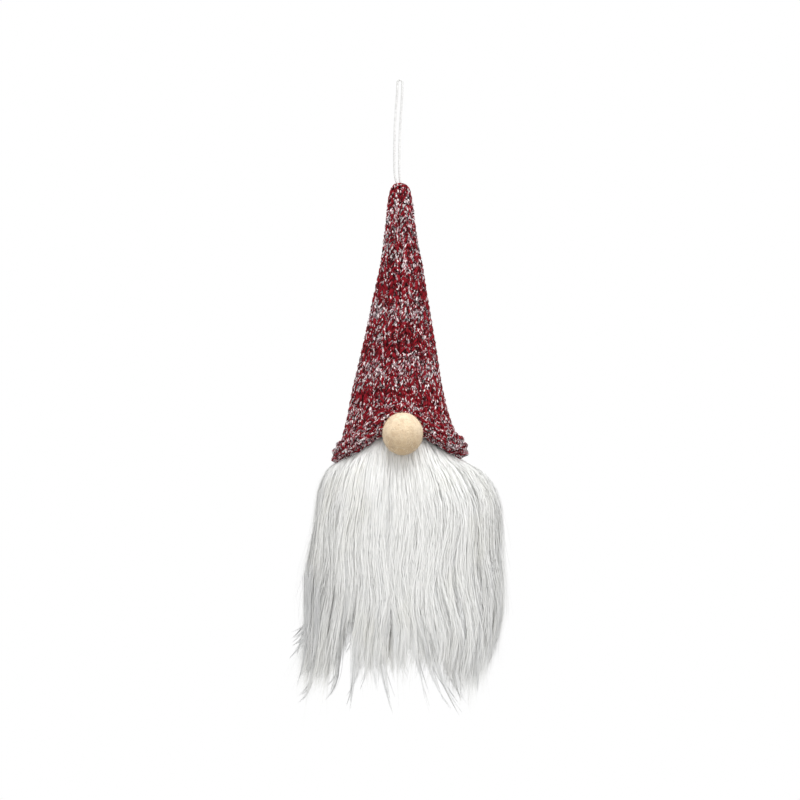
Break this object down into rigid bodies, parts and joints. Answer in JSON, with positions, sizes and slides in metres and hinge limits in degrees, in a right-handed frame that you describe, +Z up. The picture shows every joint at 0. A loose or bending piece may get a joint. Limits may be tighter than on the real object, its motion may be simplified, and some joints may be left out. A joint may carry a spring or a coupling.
{
  "type": "tomte gnome figurine",
  "caption": "Hanging gnome ornament: tall pointed marled-knit hat with a rolled brim, felt ball nose, long white faux-fur beard and a doubled white cord loop.",
  "frame": {"origin": "the hanging point, under the top of the cord loop where the hook that holds it lies", "axes": "+Z up along the hanging cord, the gnome faces -Y, X across its face"},
  "size_m": [0.1002, 0.0851, 0.3132],
  "materials": {
    "cord": "satin",
    "knit_yarn": "matte",
    "sewing_thread": "satin",
    "fibre_filling": "matte",
    "fur_backing": "matte",
    "fur_pile": "satin",
    "nose_fleece": "matte",
    "nose_core": "matte",
    "hot_glue": "satin"
  },
  "bodies": {
    "hanging_cord": {"hanging_loop": "cord"},
    "knot": {"cord_knot": "cord"},
    "tip_ring": {"tip_draw_thread": "sewing_thread"},
    "gnome": {"cord_tails": "cord", "knit_hat": "knit_yarn", "hat_seam_stitches": "sewing_thread", "hat_filling": "fibre_filling", "fur_backing": "fur_backing", "beard_pile": "fur_pile", "head_filling": "fibre_filling", "pouch_gather_thread": "sewing_thread", "brim_glue_dabs": "hot_glue", "nose_cover": "nose_fleece", "nose_core": "nose_core", "nose_thread": "sewing_thread", "nose_glue": "hot_glue"}
  },
  "joints": [
    {"name": "loop_twist", "type": "hinge", "parent": "hanging_cord", "child": "knot", "pos_m": [0, 0, -0.0561], "axis": [0, 0, 1], "range_deg": [-180, 180]},
    {"name": "sway_side", "type": "hinge", "parent": "knot", "child": "tip_ring", "pos_m": [0, 0, -0.0561], "axis": [0, 1, 0], "range_deg": [-15, 15]},
    {"name": "sway_front", "type": "hinge", "parent": "tip_ring", "child": "gnome", "pos_m": [0, 0, -0.0561], "axis": [1, 0, 0], "range_deg": [-15, 15]}
  ]
}
